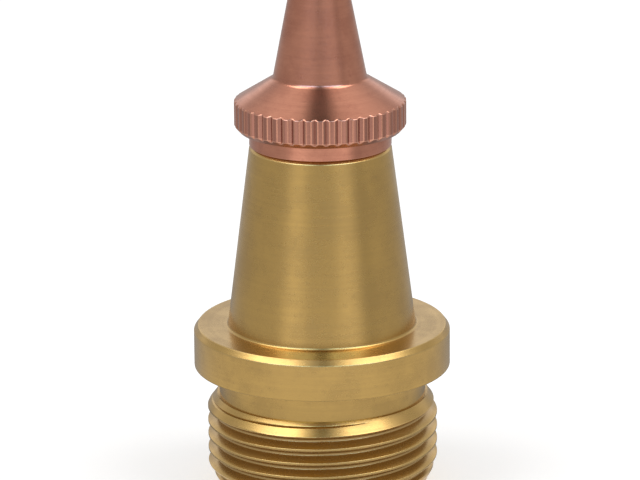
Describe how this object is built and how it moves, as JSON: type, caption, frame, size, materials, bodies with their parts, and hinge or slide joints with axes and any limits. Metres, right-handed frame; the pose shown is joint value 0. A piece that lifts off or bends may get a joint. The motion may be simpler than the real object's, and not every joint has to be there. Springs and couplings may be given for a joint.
{
  "type": "plasma torch nozzle",
  "caption": "Torch nozzle in two turned pieces: a brass body with threaded rear end, round flange and tapered barrel, and a copper tip with knurled collar and long nose cone.",
  "frame": {"origin": "centre of the brass body's rear end face, which is the lowest plane of the part", "axes": "+Z along the nozzle's axis from the threaded rear end towards the nose; -Y is the side that faces the viewer; the part is round, so X and Y are free apart from the thread's start and the knurl's phase"},
  "size_m": [0.0178, 0.0178, 0.0381],
  "materials": {
    "brass": "satin, fine turning marks",
    "copper": "satin, fine turning marks"
  },
  "bodies": {
    "root": {"nozzle_body": "brass", "nozzle_tip": "copper"}
  },
  "joints": []
}
